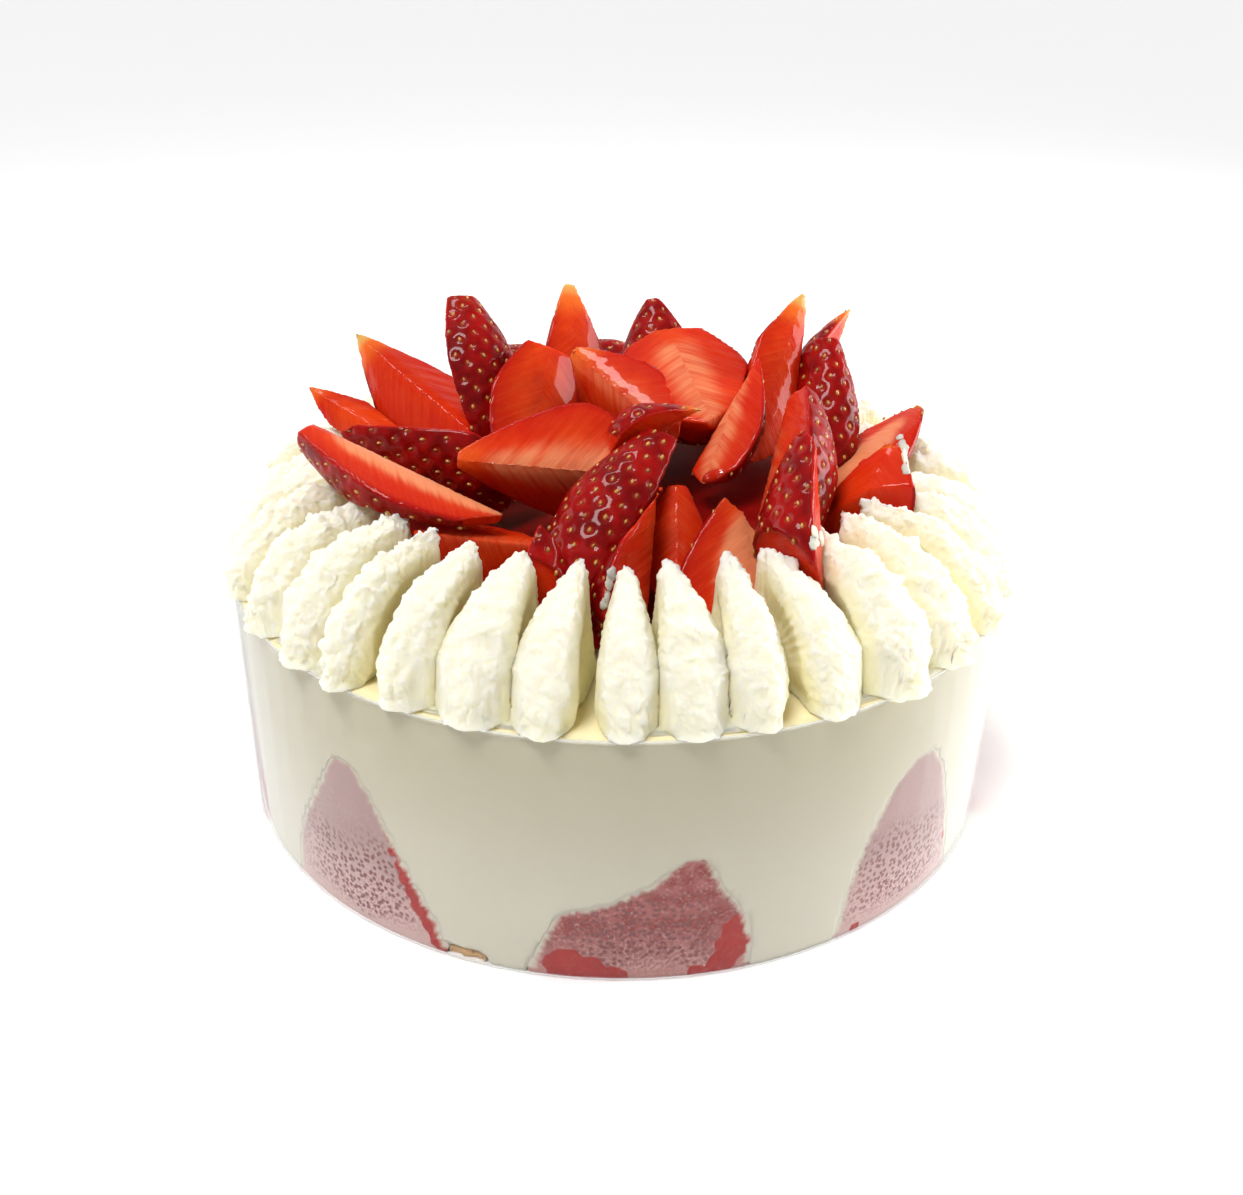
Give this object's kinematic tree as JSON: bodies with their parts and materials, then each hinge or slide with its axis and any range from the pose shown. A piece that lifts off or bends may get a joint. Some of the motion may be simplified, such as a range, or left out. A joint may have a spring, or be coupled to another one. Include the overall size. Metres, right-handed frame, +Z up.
{
  "type": "round cream cake with cut fruit",
  "caption": "Round set-cream cake in a clear film collar, with berry halves round its side, a ring of piped cream petals on its rim and a heap of cut red berries in the middle.",
  "frame": {"origin": "middle of the flat underside, where the cake rests on its board or plate", "axes": "+Z up through the heap of fruit; -Y is the front and +X the right seen from the front"},
  "size_m": [0.1527, 0.153, 0.0915],
  "materials": {
    "set_cream": "set cream, smooth and satin",
    "clear_film": "clear, glossy",
    "sponge": "open brown crumb",
    "piped_cream": "whipped, with small crags",
    "film_side_fruit": "moist fruit behind misted film",
    "cut_fruit": "wet, glazed"
  },
  "bodies": {
    "root": {"cream_body": "set_cream", "film_collar": "clear_film", "sponge_base": "sponge", "petals_01": "piped_cream", "petals_02": "piped_cream", "petals_03": "piped_cream", "petals_04": "piped_cream", "petals_05": "piped_cream", "petals_06": "piped_cream", "petals_07": "piped_cream", "petals_08": "piped_cream", "petals_09": "piped_cream", "petals_10": "piped_cream", "petals_11": "piped_cream", "petals_12": "piped_cream", "side_fruit_01": "film_side_fruit", "side_fruit_02": "film_side_fruit", "side_fruit_03": "film_side_fruit", "side_fruit_04": "film_side_fruit", "side_fruit_05": "film_side_fruit", "side_fruit_06": "film_side_fruit", "side_fruit_07": "film_side_fruit", "side_fruit_08": "film_side_fruit", "side_fruit_09": "film_side_fruit", "top_fruit_01": "cut_fruit", "top_fruit_02": "cut_fruit", "top_fruit_03": "cut_fruit", "top_fruit_04": "cut_fruit", "top_fruit_05": "cut_fruit", "top_fruit_06": "cut_fruit", "top_fruit_07": "cut_fruit", "top_fruit_08": "cut_fruit", "top_fruit_09": "cut_fruit", "top_fruit_10": "cut_fruit", "top_fruit_11": "cut_fruit", "top_fruit_12": "cut_fruit", "top_fruit_13": "cut_fruit", "top_fruit_14": "cut_fruit", "top_fruit_15": "cut_fruit", "top_fruit_16": "cut_fruit", "top_fruit_17": "cut_fruit", "top_fruit_18": "cut_fruit", "top_fruit_19": "cut_fruit", "top_fruit_20": "cut_fruit", "top_fruit_21": "cut_fruit", "top_fruit_22": "cut_fruit", "top_fruit_23": "cut_fruit", "top_fruit_24": "cut_fruit", "top_fruit_25": "cut_fruit", "top_fruit_26": "cut_fruit", "top_fruit_27": "cut_fruit", "top_fruit_28": "cut_fruit", "top_fruit_29": "cut_fruit", "top_fruit_30": "cut_fruit", "top_fruit_31": "cut_fruit", "top_fruit_32": "cut_fruit"}
  },
  "joints": []
}
